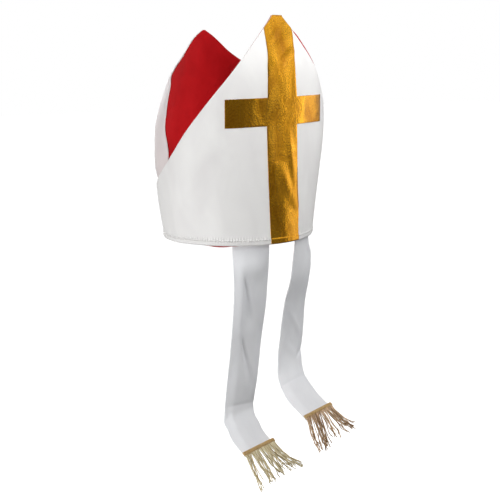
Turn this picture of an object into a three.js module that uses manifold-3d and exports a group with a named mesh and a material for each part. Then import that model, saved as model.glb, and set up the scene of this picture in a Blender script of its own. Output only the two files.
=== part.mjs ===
// Bishop mitre of stiff white cloth: two pointed panels lapped at the sides, red linings, a gold foil
// cross, and two fringed lappets that hang from inside the rim.
// Millimetres, +Z up. The origin is the centre of the rim, and the cross faces -Y.
import * as THREE from "three";
import { mergeVertices } from "three/addons/utils/BufferGeometryUtils.js";
import Module from "manifold-3d";

// Thickness of each cloth, and the air left between two of them
const PANEL_WALL = 1.6;
const LINING_WALL = 1.0;
const FOIL_WALL = 0.8;
const LAPPET_WALL = 1.8;
const GAP = 0.35;

// The lining stands a little past the edges of its panel.
const LINING_SHOWS = 0.8;

// Turned hem round the rim
const HEM_HEIGHT = 7;
const HEM_PROUD = 0.8;

// Where the panels lap, the plain one is tucked inside, and it comes back to the outer surface between
// these angles past the edge of the other.
const TUCK_DEPTH = 4.6;
const TUCK_START = 5;
const TUCK_TURN = 24;

// Cross: measured across the panel, with its bar a little higher on the right for each millimetre across.
const BAR_HALF_LENGTH = 74;
const BAR_BOTTOM = 148.5;
const BAR_TOP = 182.5;
const BAR_TILT = 0.022;

// Lappets and fringes
const LAPPET_WIDTH = 46;
const LAPPET_TUCK = 14;
const LAPPET_RIM_CROWN = 3;
const LAPPET_FOLD_FROM = 0.5;
const HEADER_WIDTH = 48;
const HEADER_HEIGHT = 6.5;
const HEADER_THICKNESS = 2.6;
const HEADER_OVERHANG = 2.6;
const LOCKS = 10;
const LOCK_LENGTH = 52;
const LOCK_RADIUS = 2.1;
const LOCK_SPLAY = 7;
const LOCK_UNEVEN = 0.1;

// Level sections of the hat on each panel's side: half the width, the depth, and how round it is, where 1
// is an ellipse, less is squarer and more is sharper at the sides. The widths agree where the panels lap.
const CROSS_SECTIONS = [
  { height: 0, halfWidth: 104, depth: 97, power: 1.3 },
  { height: 70, halfWidth: 111, depth: 96, power: 1.03 },
  { height: 140, halfWidth: 115, depth: 96, power: 0.8 },
  { height: 210, halfWidth: 105, depth: 100, power: 0.7 },
  { height: 280, halfWidth: 85, depth: 87, power: 0.97 },
];
const PLAIN_SECTIONS = [
  { height: 0, halfWidth: 104, depth: 99, power: 0.81 },
  { height: 70, halfWidth: 111, depth: 112, power: 0.86 },
  { height: 140, halfWidth: 115, depth: 103, power: 0.98 },
  { height: 205, halfWidth: 97, depth: 91, power: 1.1 },
  { height: 230, halfWidth: 82, depth: 88, power: 1.15 },
  { height: 280, halfWidth: 73, depth: 84, power: 1.2 },
];

// Outline of each panel: how far it reaches round the hat from its own centre line, in degrees, at each
// height.
const CROSS_OUTLINE = [
  { height: 0, reach: 121 },
  { height: 36, reach: 123 },
  { height: 60, reach: 119 },
  { height: 80, reach: 105.5 },
  { height: 100, reach: 91.5 },
  { height: 140, reach: 71 },
  { height: 200, reach: 44.4 },
  { height: 240, reach: 25.8 },
  { height: 265, reach: 13 },
  { height: 280, reach: 4.6 },
];
const PLAIN_OUTLINE = [
  { height: 0, reach: 74 },
  { height: 80, reach: 83 },
  { height: 125, reach: 89.5 },
  { height: 155, reach: 90 },
  { height: 196, reach: 83 },
  { height: 208, reach: 74 },
  { height: 218, reach: 59 },
  { height: 226, reach: 46 },
  { height: 245, reach: 27.4 },
  { height: 259, reach: 16.9 },
  { height: 268, reach: 8.6 },
  { height: 274, reach: 1 },
];

// Edges of the cross's upright at each height, measured across the panel from its centre line.
const UPRIGHT = [
  { height: 0, left: -19.5, right: 25 },
  { height: 165, left: -23, right: 22.5 },
  { height: 240, left: -22, right: 17.5 },
  { height: 280, left: -20, right: 16 },
];

// Way of each lappet below the rim: its middle, how far its face is turned, the crown across its width,
// and how far the strip along its left edge is folded back.
const LAPPETS = [
  {
    side: "left",
    rimAngle: -25,
    way: [
      { x: -38, y: -75, z: -67, turn: -6, crown: 1.5, fold: 2 },
      { x: -42, y: -67, z: -139, turn: 2.5, crown: 0.5, fold: 3 },
      { x: -48, y: -67.5, z: -182, turn: 3, crown: 1, fold: 4 },
      { x: -55, y: -68, z: -222, turn: 4, crown: 2, fold: 1.5 },
      { x: -59, y: -73.5, z: -231.5, turn: 0, crown: 1, fold: 2.5 },
      { x: -59, y: -81.5, z: -238.5, turn: -0.5, crown: 1, fold: 2.5 },
      { x: -59.5, y: -92.5, z: -248, turn: 0, crown: 1, fold: 3 },
      { x: -57, y: -113, z: -261, turn: -0.5, crown: 0.5, fold: 2.5 },
    ],
    fringe: { x: 4, y: -45, z: -27 },
  },
  {
    side: "right",
    rimAngle: 27,
    way: [
      { x: 45, y: -76, z: -49, turn: 19.5, crown: 2, fold: 0 },
      { x: 42, y: -66, z: -91, turn: 15.5, crown: 2, fold: 0 },
      { x: 38, y: -62.4, z: -134, turn: 11.5, crown: 1.5, fold: 0 },
      { x: 32, y: -66, z: -167, turn: 10.5, crown: 2.5, fold: 0 },
      { x: 25, y: -78, z: -190, turn: 8.5, crown: 2, fold: 1.4 },
      { x: 21.5, y: -102.5, z: -208, turn: 3, crown: 1, fold: 3 },
      { x: 22, y: -137, z: -223.5, turn: 4.5, crown: 0.5, fold: 2.5 },
    ],
    fringe: { x: 1, y: -42, z: -28 },
  },
];

// Facets: columns and row spacing of a panel, and cells of the cross, a lappet and a lock
const PANEL_COLUMNS = 23;
const ROW_SPACING = 26;
const CROSS_CELLS = { arm: 4, upright: 4, bar: 3, up: 11 };
const LAPPET_CELLS = { along: 24, across: 8 };
const LOCK_CELLS = { round: 6, along: 4 };

const WHITE_CLOTH = new THREE.MeshStandardMaterial({ color: 0xf1f0ee, roughness: 0.75 });
const RED_LINING = new THREE.MeshStandardMaterial({ color: 0xb3141c, roughness: 0.6 });
const GOLD_FOIL = new THREE.MeshStandardMaterial({ color: 0xc98f1e, roughness: 0.3, metalness: 1 });
const GOLD_CORD = new THREE.MeshStandardMaterial({ color: 0xc8b478, roughness: 0.55 });

const wasm = await Module();
wasm.setup();

const radians = THREE.MathUtils.degToRad;
const { lerp, smoothstep } = THREE.MathUtils;

// Evenly spaced numbers from first to last, both included.
function spread(first, last, cells) {
  return Array.from({ length: cells + 1 }, (_, i) => lerp(first, last, i / cells));
}

// Reads a column of a table at a height, on a smooth curve through its rows that never overshoots them.
function readAt(table, column, height) {
  const last = table.length - 1;
  const rise = (i) => (table[i + 1][column] - table[i][column]) / (table[i + 1].height - table[i].height);
  const slope = (i) => {
    if (i === 0) return rise(0);
    if (i === last) return rise(last - 1);
    const before = rise(i - 1);
    const after = rise(i);
    return before * after > 0 ? (2 * before * after) / (before + after) : 0;
  };
  const level = THREE.MathUtils.clamp(height, table[0].height, table[last].height);
  const i = Math.min(table.filter((row) => row.height <= level).length, last) - 1;
  const span = table[i + 1].height - table[i].height;
  const s = (level - table[i].height) / span;
  const from = table[i][column];
  const to = table[i + 1][column];
  return (
    from * (1 + 2 * s) * (1 - s) ** 2 +
    slope(i) * span * s * (1 - s) ** 2 +
    to * (3 - 2 * s) * s ** 2 +
    slope(i + 1) * span * (s - 1) * s ** 2
  );
}

// Point of the level section at this height and angle round the hat, 0 at the middle of the cross.
function sectionPoint(height, angle) {
  const t = radians(angle);
  const onCross = Math.cos(t) >= 0;
  const sections = onCross ? CROSS_SECTIONS : PLAIN_SECTIONS;
  const x = readAt(sections, "halfWidth", height) * Math.sin(t);
  const y = readAt(sections, "depth", height) * Math.abs(Math.cos(t)) ** readAt(sections, "power", height);
  return new THREE.Vector2(x, onCross ? -y : y);
}

// Level direction straight out of the hat.
function outward(height, angle) {
  const along = sectionPoint(height, angle + 1).sub(sectionPoint(height, angle - 1)).normalize();
  return new THREE.Vector3(along.y, -along.x, 0);
}

// Point of the hat, this far outside its surface.
function hatPoint(height, angle, offset) {
  const p = sectionPoint(height, angle);
  return new THREE.Vector3(p.x, p.y, height).addScaledVector(outward(height, angle), offset);
}

// How far the hem stands out from the cloth above it.
function hemProud(height) {
  const edge = HEM_PROUD * smoothstep(height, -HEM_PROUD, 1);
  return edge * (1 - smoothstep(height, HEM_HEIGHT - 1, HEM_HEIGHT + 0.5));
}

// Share of the tuck that the plain panel has here: 1 inside the cross panel, 0 well clear of it.
function tuckShare(height, angle) {
  const past = Math.abs(angle) - readAt(CROSS_OUTLINE, "reach", height);
  return 1 - smoothstep(past, TUCK_START, TUCK_TURN);
}

// Closes two facing grids of points into one thin solid, filling only the cells that are kept.
// Each cell is split along its shorter diagonal.
function thinSolid(outer, inner, kept = () => true) {
  const rows = outer.length - 1;
  const columns = outer[0].length - 1;
  const position = [];
  const quad = (a, b, c, d) => [a, b, c, a, c, d].forEach((p) => position.push(p.x, p.y, p.z));
  const filled = (i, j) => i >= 0 && j >= 0 && i < rows && j < columns && kept(i, j);
  for (let i = 0; i < rows; i++) {
    for (let j = 0; j < columns; j++) {
      if (!filled(i, j)) continue;
      const k = i + 1;
      const m = j + 1;
      const falls = outer[i][m].distanceTo(outer[k][j]) < outer[i][j].distanceTo(outer[k][m]);
      if (falls) {
        quad(outer[i][m], outer[k][m], outer[k][j], outer[i][j]);
        quad(inner[k][j], inner[k][m], inner[i][m], inner[i][j]);
      } else {
        quad(outer[i][j], outer[i][m], outer[k][m], outer[k][j]);
        quad(inner[i][j], inner[k][j], inner[k][m], inner[i][m]);
      }
      if (!filled(i - 1, j)) quad(outer[i][j], inner[i][j], inner[i][m], outer[i][m]);
      if (!filled(k, j)) quad(outer[k][m], inner[k][m], inner[k][j], outer[k][j]);
      if (!filled(i, j - 1)) quad(outer[k][j], inner[k][j], inner[i][j], outer[i][j]);
      if (!filled(i, m)) quad(outer[i][m], inner[i][m], inner[k][m], outer[k][m]);
    }
  }
  return new THREE.BufferGeometry().setAttribute("position", new THREE.Float32BufferAttribute(position, 3));
}

// Levels of a panel's rows: close together over the hem, then at each row of its outline, with long
// steps split.
function panelLevels(outline, shows) {
  const hem = [-shows, HEM_HEIGHT * 0.2, HEM_HEIGHT - 1, HEM_HEIGHT + 0.5];
  const above = outline.slice(1).map((row) => row.height);
  const tip = above.pop() + shows;
  const stops = [hem.pop(), ...above, tip];
  const steps = stops.slice(1).flatMap((stop, i) => {
    const cells = Math.ceil((stop - stops[i]) / ROW_SPACING);
    return spread(stops[i], stop, cells).slice(1);
  });
  return [...hem, stops[0], ...steps];
}

// One layer of a panel, between two depths below the hat's surface.
function panelLayer({ outline, centre, tucked, over, under, shows, hem }) {
  const levels = panelLevels(outline, shows);
  const grid = (depth, proud) =>
    levels.map((height) => {
      const girth = readAt(CROSS_SECTIONS, "halfWidth", height);
      const reach = readAt(outline, "reach", height) + THREE.MathUtils.radToDeg(shows / girth);
      return spread(-reach, reach, PANEL_COLUMNS).map((turn) => {
        const angle = centre + turn;
        const round = angle > 180 ? angle - 360 : angle;
        const tuck = tucked ? tuckShare(height, round) : 0;
        return hatPoint(height, round, proud * hemProud(height) * (1 - tuck) - depth - tuck * TUCK_DEPTH);
      });
    });
  return thinSolid(grid(over, hem ? 1 : 0), grid(under, 0));
}

// Angle round the hat of a point this far across it.
function angleAcross(across, height) {
  return THREE.MathUtils.radToDeg(Math.asin(across / readAt(CROSS_SECTIONS, "halfWidth", height)));
}

// The foil cross lies on the panel and follows it over the hem, trimmed by the panel's outline at the tip.
function foilCross() {
  const tip = CROSS_OUTLINE[CROSS_OUTLINE.length - 1].height;
  const hem = [0, HEM_HEIGHT * 0.2, HEM_HEIGHT - 1];
  const below = spread(HEM_HEIGHT + 0.5, BAR_BOTTOM, CROSS_CELLS.up);
  const bar = spread(BAR_BOTTOM, BAR_TOP, CROSS_CELLS.bar).slice(1);
  const above = spread(BAR_TOP, tip, CROSS_CELLS.up).slice(1);
  const levels = [...hem, ...below, ...bar, ...above];
  const columns = (height) => {
    const left = readAt(UPRIGHT, "left", height);
    const right = readAt(UPRIGHT, "right", height);
    return [
      ...spread(-BAR_HALF_LENGTH, left, CROSS_CELLS.arm),
      ...spread(left, right, CROSS_CELLS.upright).slice(1),
      ...spread(right, BAR_HALF_LENGTH, CROSS_CELLS.arm).slice(1),
    ];
  };
  const point = (level, across, lift) => {
    const turnedHem = 1 - smoothstep(level, HEM_HEIGHT, BAR_BOTTOM);
    const height = Math.min(level + (1 - turnedHem) * BAR_TILT * across, tip);
    const trim = readAt(CROSS_OUTLINE, "reach", height) - angleAcross(GAP, height);
    const angle = THREE.MathUtils.clamp(angleAcross(across, height), -trim, trim);
    return hatPoint(height, angle, hemProud(height) + lift);
  };
  const grid = (lift) => levels.map((level) => columns(level).map((across) => point(level, across, lift)));
  const onUpright = (j) => j >= CROSS_CELLS.arm && j < CROSS_CELLS.arm + CROSS_CELLS.upright;
  const onBar = (i) => levels[i] >= BAR_BOTTOM && levels[i] < BAR_TOP;
  return thinSolid(grid(GAP + FOIL_WALL), grid(GAP), (i, j) => onUpright(j) || onBar(i));
}

// Sections of a lappet from its tucked top to its free end.
function lappetSections({ rimAngle, way }) {
  const wall = PANEL_WALL + LINING_WALL + 3 * GAP + LAPPET_WALL / 2;
  const rim = [LAPPET_TUCK, 0].map((z) => {
    const face = outward(z, rimAngle);
    const turn = THREE.MathUtils.radToDeg(Math.atan2(face.x, -face.y));
    const middle = hatPoint(z, rimAngle, -wall);
    return { x: middle.x, y: middle.y, z, turn, crown: LAPPET_RIM_CROWN, fold: 0 };
  });
  const rows = [...rim, ...way];
  const path = new THREE.CatmullRomCurve3(rows.map((row) => new THREE.Vector3(row.x, row.y, row.z)));
  const column = (name, s) => {
    const place = s * (rows.length - 1);
    const i = Math.min(Math.floor(place), rows.length - 2);
    return lerp(rows[i][name], rows[i + 1][name], smoothstep(place - i, 0, 1));
  };
  return spread(0, 1, LAPPET_CELLS.along).map((s) => {
    const turn = radians(column("turn", s));
    const width = new THREE.Vector3(Math.cos(turn), Math.sin(turn), 0);
    const along = path.getTangent(s);
    const face = along.clone().cross(width).normalize();
    const bow = { crown: column("crown", s), fold: column("fold", s) };
    return { middle: path.getPoint(s), along, width, face, ...bow };
  });
}

// How far a lappet's face lies behind its middle, at s from -1 at the left edge to 1 at the right.
function lappetBack({ crown, fold }, s) {
  return crown * s ** 2 + (fold * Math.max(0, -s - LAPPET_FOLD_FROM)) / (1 - LAPPET_FOLD_FROM);
}

// A lappet is a doubled band, crowned a little across its width.
function lappetBand(sections) {
  const columns = spread(-1, 1, LAPPET_CELLS.across);
  const point = (section, s, lift) =>
    section.middle
      .clone()
      .addScaledVector(section.width, (s * LAPPET_WIDTH) / 2)
      .addScaledVector(section.face, lift - lappetBack(section, s));
  const grid = (lift) => sections.map((section) => columns.map((s) => point(section, s, lift))).reverse();
  return thinSolid(grid(LAPPET_WALL / 2), grid(-LAPPET_WALL / 2));
}

// A closed geometry as a solid that can be joined to others.
function solidOf(geometry) {
  const bare = geometry.clone().deleteAttribute("normal").deleteAttribute("uv");
  const merged = mergeVertices(bare, 1e-4);
  const vertProperties = merged.attributes.position.array;
  return new wasm.Manifold(
    new wasm.Mesh({ numProp: 3, vertProperties, triVerts: new Uint32Array(merged.index.array) }),
  );
}

// A joined solid as a geometry.
function geometryOf(solid) {
  const mesh = solid.getMesh();
  return new THREE.BufferGeometry()
    .setAttribute("position", new THREE.BufferAttribute(mesh.vertProperties, 3))
    .setIndex(new THREE.BufferAttribute(mesh.triVerts, 1));
}

// The fringe: a braid header on the outer face of the lappet's end, fused to the locks that hang from it.
function fringe(sections, fall) {
  const end = sections[sections.length - 1];
  const under = LAPPET_WALL / 2 + GAP;
  const at = (across, along, lift) =>
    end.middle
      .clone()
      .addScaledVector(end.width, across)
      .addScaledVector(end.along, along)
      .addScaledVector(end.face, lift);
  const braid = (lift) =>
    [HEADER_OVERHANG, HEADER_OVERHANG - HEADER_HEIGHT].map((along) =>
      spread(-HEADER_WIDTH / 2, HEADER_WIDTH / 2, LOCKS).map((across) => at(across, along, lift)),
    );
  const header = solidOf(thinSolid(braid(under + HEADER_THICKNESS), braid(under)));
  const ring = spread(0, 2 * Math.PI, LOCK_CELLS.round).slice(1);
  const section = new THREE.Shape(
    ring.map((a) => new THREE.Vector2(LOCK_RADIUS * Math.cos(a), LOCK_RADIUS * Math.sin(a))),
  );
  const down = new THREE.Vector3(fall.x, fall.y, fall.z).normalize();
  const edge = HEADER_WIDTH / 2 - LOCK_RADIUS;
  const locks = spread(-1, 1, LOCKS - 1).map((s, i) => {
    const root = at(s * edge, HEADER_OVERHANG / 3, under + HEADER_THICKNESS / 2);
    const length = LOCK_LENGTH * (1 - LOCK_UNEVEN * Math.abs(Math.sin(5 * i)));
    const bend = root.clone().addScaledVector(end.along, length * 0.4);
    const free = root
      .clone()
      .addScaledVector(down, length)
      .addScaledVector(end.width, LOCK_SPLAY * (s + 0.3 * Math.sin(3 * i)));
    const steps = LOCK_CELLS.along;
    const extrudePath = new THREE.QuadraticBezierCurve3(root, bend, free);
    return solidOf(new THREE.ExtrudeGeometry(section, { steps, bevelEnabled: false, extrudePath }));
  });
  return geometryOf(locks.reduce((joined, lock) => joined.add(lock), header));
}

const mitre = new THREE.Group();

function place(name, geometry, material) {
  const mesh = new THREE.Mesh(geometry, material);
  mesh.name = name;
  mitre.add(mesh);
}

const PANELS = [
  { name: "cross_panel", outline: CROSS_OUTLINE, centre: 0, tucked: false },
  { name: "plain_panel", outline: PLAIN_OUTLINE, centre: 180, tucked: true },
];
const LINING_DEPTH = PANEL_WALL + GAP;

for (const panel of PANELS) {
  const cloth = { ...panel, over: 0, under: PANEL_WALL, shows: 0, hem: true };
  const lining = { ...panel, over: LINING_DEPTH, under: LINING_DEPTH + LINING_WALL, shows: LINING_SHOWS };
  place(panel.name, panelLayer(cloth), WHITE_CLOTH);
  place(panel.name + "_lining", panelLayer(lining), RED_LINING);
}

place("gold_cross", foilCross(), GOLD_FOIL);

for (const lappet of LAPPETS) {
  const sections = lappetSections(lappet);
  place("lappet_" + lappet.side, lappetBand(sections), WHITE_CLOTH);
  place("fringe_" + lappet.side, fringe(sections, lappet.fringe), GOLD_CORD);
}

export default mitre;
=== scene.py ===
"""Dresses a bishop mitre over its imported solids.

Two lapped white panels with a stitched hem, their red linings, a crinkled foil cross and two fringed
lappets. Lengths in the tables are millimetres; meshes are in metres, in the frame of the solids.
"""

import logging
import math
from dataclasses import dataclass, field, replace
from enum import Enum
from functools import cache
from typing import NamedTuple, Sequence

import bmesh
import bpy
import numpy as np
from mathutils import Matrix, Vector, noise


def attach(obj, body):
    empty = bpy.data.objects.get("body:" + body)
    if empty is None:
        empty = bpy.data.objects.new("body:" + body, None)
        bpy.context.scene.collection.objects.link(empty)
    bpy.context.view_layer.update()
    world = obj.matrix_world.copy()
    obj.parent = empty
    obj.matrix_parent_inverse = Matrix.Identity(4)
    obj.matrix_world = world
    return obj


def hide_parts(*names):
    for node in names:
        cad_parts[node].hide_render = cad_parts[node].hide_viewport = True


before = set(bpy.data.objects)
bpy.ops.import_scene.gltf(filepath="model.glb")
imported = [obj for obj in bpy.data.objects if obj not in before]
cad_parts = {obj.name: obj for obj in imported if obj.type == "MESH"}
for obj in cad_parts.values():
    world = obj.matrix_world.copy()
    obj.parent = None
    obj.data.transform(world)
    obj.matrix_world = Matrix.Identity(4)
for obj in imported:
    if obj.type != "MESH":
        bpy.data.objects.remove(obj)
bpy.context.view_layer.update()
LOG = logging.getLogger("mitre")

MM = 0.001
TINY = 1e-9
BODY = "root"
IMAGE_SIDE = 500
# Shares of a band and degrees of the hat to either side, from which ways along and out are measured.
NUDGE = 1e-4
TURN_STEP = 1.0
# Detail of the noise in broad folds and in fine grain.
FOLD_DETAIL = 3.0
GRAIN_DETAIL = 2.0
# Steps of the half circle round a cloth's edge.
RIM_STEPS = 4
# Share of a crease at which its ends stop fading.
CREASE_END = 0.08
# A dent's width at its apex, the share of it that the steep wall takes, and where it is full and fades.
DENT_TIP = 2.0
DENT_WALL = 0.6
DENT_FULL = 0.2
DENT_FADES = 0.7
# Pitch of the hem's stitches, and heights from which the gathers grow to full depth, below and above.
STITCH_PITCH = 3.6
GATHER_ENDS = ((3.0, 6.5), (12.0, 7.5))
# Gaps between the cloth, the lining and a lappet at the rim, the last one double.
RIM_GAPS = 3
# How far apart in the noise two cords of one fringe may lie.
STRAND_SHIFT = 40.0

Array = np.ndarray
Thing = bpy.types.Object
Material = bpy.types.Material
Tree = bpy.types.NodeTree
Socket = bpy.types.NodeSocket
Inputs = dict[str | int, object]


class Slot(Enum):
    """Material slots of the record."""

    WHITE_CLOTH = "white_cloth"
    RED_LINING = "red_lining"
    GOLD_FOIL = "gold_foil"
    WHITE_SATIN = "white_satin"
    GOLD_FRINGE = "gold_fringe"


class Held(Enum):
    """Ways in which a cloth is held."""

    HUNG = "hung"
    LAID = "laid"
    STRETCHED = "stretched"


class Level(NamedTuple):
    """Level section of the hat on one panel's side."""

    height: float
    half_width: float
    depth: float
    power: float


class Reach(NamedTuple):
    """How far a panel reaches round the hat from its centre line, in degrees."""

    height: float
    reach: float


class Edges(NamedTuple):
    """Edges of the cross's upright, measured across the panel."""

    height: float
    left: float
    right: float


class Way(NamedTuple):
    """Middle of a lappet, the turn of its face in degrees, and its crown and folded edge."""

    x: float
    y: float
    z: float
    turn: float
    crown: float
    fold: float


class Crease(NamedTuple):
    """Soft fold in a cloth, from one place (along, across) to another; a negative depth is a valley."""

    along: float
    across: float
    to_along: float
    to_across: float
    width: float
    depth: float


class Dent(NamedTuple):
    """V-shaped hollow in a band: its apex, length, widening and lean for each mm down, and depth."""

    along: float
    across: float
    length: float
    widening: float
    lean: float
    depth: float


class Lock(NamedTuple):
    """Cords that hang together: roots and tips across the header, fall, and how early they sway."""

    root_from: float
    root_to: float
    tip_from: float
    tip_to: float
    fall: float
    early: float
    cords: int


class Bend(NamedTuple):
    """Stop of a cord: shares of its fall, of its sway, of its early sway and of its depth."""

    fall: float
    sway: float
    early: float
    depth: float


def linear(colour: str) -> tuple[float, float, float, float]:
    """Turns an sRGB hex colour to linear RGBA.

    Args:
        colour: Colour such as "#F4F3F1".

    Returns:
        Linear red, green, blue and alpha.
    """
    parts = [int(colour[i : i + 2], 16) / 255 for i in (1, 3, 5)]
    rgb = [c / 12.92 if c <= 0.04045 else ((c + 0.055) / 1.055) ** 2.4 for c in parts]
    return rgb[0], rgb[1], rgb[2], 1.0


def add(tree: Tree, kind: str, inputs: Inputs | None = None, **settings: object) -> bpy.types.Node:
    """Adds a node with its settings, links and values.

    Args:
        tree: Node tree that gets the node.
        kind: Type name of the node.
        inputs: Value or output socket for each input, by name or index.
        **settings: Properties of the node.

    Returns:
        The new node.
    """
    node = tree.nodes.new(kind)
    for name, value in settings.items():
        setattr(node, name, value)
    for key, value in (inputs or {}).items():
        if isinstance(value, Socket):
            tree.links.new(value, node.inputs[key])
        else:
            node.inputs[key].default_value = value
    return node


def out(
    tree: Tree,
    kind: str,
    inputs: Inputs | None = None,
    socket: str | int = 0,
    **settings: object,
) -> Socket:
    """Adds a node and gives one of its outputs.

    Args:
        tree: Node tree that gets the node.
        kind: Type name of the node.
        inputs: Value or output socket for each input, by name or index.
        socket: Name or index of the output.
        **settings: Properties of the node.

    Returns:
        The output socket.
    """
    return add(tree, kind, inputs, **settings).outputs[socket]


def smooth(value: Array, low: float, high: float) -> Array:
    """Eases from 0 at low to 1 at high."""
    t = np.clip((np.asarray(value, float) - low) / (high - low), 0, 1)
    return t * t * (3 - 2 * t)


def unit(vectors: Array) -> Array:
    """Scales vectors to length 1."""
    return vectors / np.maximum(np.linalg.norm(vectors, axis=-1, keepdims=True), TINY)


def read_at(rows: Sequence[NamedTuple], column: str, heights: Array) -> Array:
    """Reads a column of a table on a smooth curve through its rows that never overshoots them.

    Args:
        rows: Table with a height column.
        column: Name of the column.
        heights: Heights to read at.

    Returns:
        The column's values at the heights.
    """
    x = np.array([row.height for row in rows], float)
    y = np.array([getattr(row, column) for row in rows], float)
    span = np.diff(x)
    rise = np.diff(y) / span
    before, after = rise[:-1], rise[1:]
    same = before * after > 0
    inner = np.where(same, 2 * before * after / np.where(same, before + after, 1), 0)
    slope = np.concatenate([rise[:1], inner, rise[-1:]])
    level = np.clip(heights, x[0], x[-1])
    i = np.clip(np.searchsorted(x, level, side="right") - 1, 0, len(span) - 1)
    s = (level - x[i]) / span[i]
    start = y[i] * (1 + 2 * s) * (1 - s) ** 2 + slope[i] * span[i] * s * (1 - s) ** 2
    return start + y[i + 1] * (3 - 2 * s) * s**2 + slope[i + 1] * span[i] * (s - 1) * s**2


def crease_depth(creases: Sequence[Crease], along: Array, across: Array) -> Array:
    """Sums the creases of a cloth at places on it.

    Args:
        creases: Folds of the cloth.
        along: First coordinate of the places.
        across: Second coordinate of the places.

    Returns:
        Height of the folds at each place.
    """
    total = np.zeros(np.broadcast(along, across).shape)
    for c in creases:
        run = np.array([c.to_along - c.along, c.to_across - c.across])
        length = max(float(np.hypot(*run)), TINY)
        s = ((along - c.along) * run[0] + (across - c.across) * run[1]) / length**2
        near = np.clip(s, 0, 1)
        away = np.hypot(along - c.along - near * run[0], across - c.across - near * run[1])
        fade = np.sin(np.pi * np.clip(near, CREASE_END, 1 - CREASE_END)) ** 0.5
        total = total + c.depth * fade * np.exp(-((away / c.width) ** 2))
    return total


def dent_depth(dents: Sequence[Dent], along: Array, across: Array) -> Array:
    """Sums the dents of a band, each steep at its left edge, at places on it.

    Args:
        dents: Hollows of the band.
        along: Places down the band.
        across: Places across the band.

    Returns:
        Height of the hollows at each place, 0 or less.
    """
    total = np.zeros(np.broadcast(along, across).shape)
    for d in dents:
        down = along - d.along
        place = (across - d.across - d.lean * down) / (DENT_TIP + d.widening * np.maximum(down, 0))
        ends = smooth(down, 0, DENT_FULL * d.length) * (1 - smooth(down, DENT_FADES * d.length, d.length))
        fallen = 1 - (1 - np.clip(place / DENT_WALL, 0, 1)) ** 2
        total = total - d.depth * ends * fallen * (1 - smooth(place, DENT_WALL, 1))
    return total


def make_object(
    name: str,
    points: Array,
    faces: Sequence[Sequence[int]],
    uv: Array | None = None,
    edges: Sequence[Sequence[int]] = (),
) -> Thing:
    """Makes a smooth mesh object at the origin.

    Args:
        name: Name of the object.
        points: Points in millimetres, one row each.
        faces: Corner indices of each face.
        uv: Place of each point on its flat cloth, in millimetres.
        edges: Loose edges, for a guide that has no faces.

    Returns:
        The object, linked to the scene.
    """
    mesh = bpy.data.meshes.new(name)
    mesh.from_pydata((points * MM).tolist(), list(edges), list(faces))
    if uv is not None:
        corners = np.zeros(len(mesh.loops), np.int32)
        mesh.loops.foreach_get("vertex_index", corners)
        layer = mesh.uv_layers.new(name="cloth")
        layer.data.foreach_set("uv", (uv[corners] * MM).astype(np.float32).ravel())
    mesh.polygons.foreach_set("use_smooth", np.ones(len(mesh.polygons), bool))
    mesh.validate()
    mesh.update()
    made = bpy.data.objects.new(name, mesh)
    bpy.context.scene.collection.objects.link(made)
    return made


def make_shell(name: str, outer: Array, inner: Array, uv: Array, kept: Array | None = None) -> Thing:
    """Closes two facing grids of points into a thin cloth with a rounded edge.

    Args:
        name: Name of the object.
        outer: Outer grid of points, rows upwards and columns to the right.
        inner: Inner grid that faces it.
        uv: Place of each grid point on the flat cloth.
        kept: True for each cell that is filled; all of them where left out.

    Returns:
        The cloth as an object.
    """
    rows, columns = outer.shape[0] - 1, outer.shape[1] - 1
    filled = np.zeros((rows + 2, columns + 2), bool)
    filled[1:-1, 1:-1] = True if kept is None else kept
    index = np.arange((rows + 1) * (columns + 1)).reshape(rows + 1, columns + 1)
    count = index.size
    faces: list[tuple[int, ...]] = []
    border: list[tuple[int, int]] = []
    push = np.zeros((count, 3))
    flat = outer.reshape(-1, 3)
    for i in range(rows):
        for j in range(columns):
            if not filled[i + 1, j + 1]:
                continue
            ring = (index[i, j], index[i, j + 1], index[i + 1, j + 1], index[i + 1, j])
            faces += [ring, tuple(count + k for k in reversed(ring))]
            sides = (filled[i, j + 1], filled[i + 1, j + 2], filled[i + 2, j + 1], filled[i + 1, j])
            for k in [k for k, closed in enumerate(sides) if not closed]:
                a, b, c, d = (ring[(k + step) % 4] for step in range(4))
                border.append((a, b))
                push[[a, b]] += unit(flat[a] + flat[b] - flat[c] - flat[d])
    edge = sorted({k for pair in border for k in pair})
    middle = (flat[edge] + inner.reshape(-1, 3)[edge]) / 2
    half = flat[edge] - middle
    away = push[edge]
    away = away - half * (np.sum(away * half, -1) / np.maximum(np.sum(half * half, -1), TINY))[:, None]
    away = unit(away) * np.linalg.norm(half, axis=-1, keepdims=True)
    turns = [math.pi * k / RIM_STEPS for k in range(1, RIM_STEPS)]
    rims = [middle + half * math.cos(a) + away * math.sin(a) for a in turns]
    ladder = [{k: k for k in edge}]
    ladder += [{k: 2 * count + r * len(edge) + n for n, k in enumerate(edge)} for r in range(len(turns))]
    ladder += [{k: count + k for k in edge}]
    for a, b in border:
        faces += [(upper[b], upper[a], lower[a], lower[b]) for upper, lower in zip(ladder, ladder[1:])]
    points = np.concatenate([flat, inner.reshape(-1, 3), *rims])
    spread = uv.reshape(-1, 2)
    made = make_object(name, points, faces, np.concatenate([spread, spread, *[spread[edge]] * len(turns)]))
    return drop_loose(made)


def drop_loose(made: Thing) -> Thing:
    """Removes points that no face uses."""
    used = np.zeros(len(made.data.vertices), bool)
    corners = np.zeros(len(made.data.loops), np.int32)
    made.data.loops.foreach_get("vertex_index", corners)
    used[corners] = True
    if not used.all():
        work = bmesh.new()
        work.from_mesh(made.data)
        bmesh.ops.delete(work, geom=[v for v in work.verts if not v.link_faces], context="VERTS")
        work.to_mesh(made.data)
        work.free()
    return made


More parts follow.
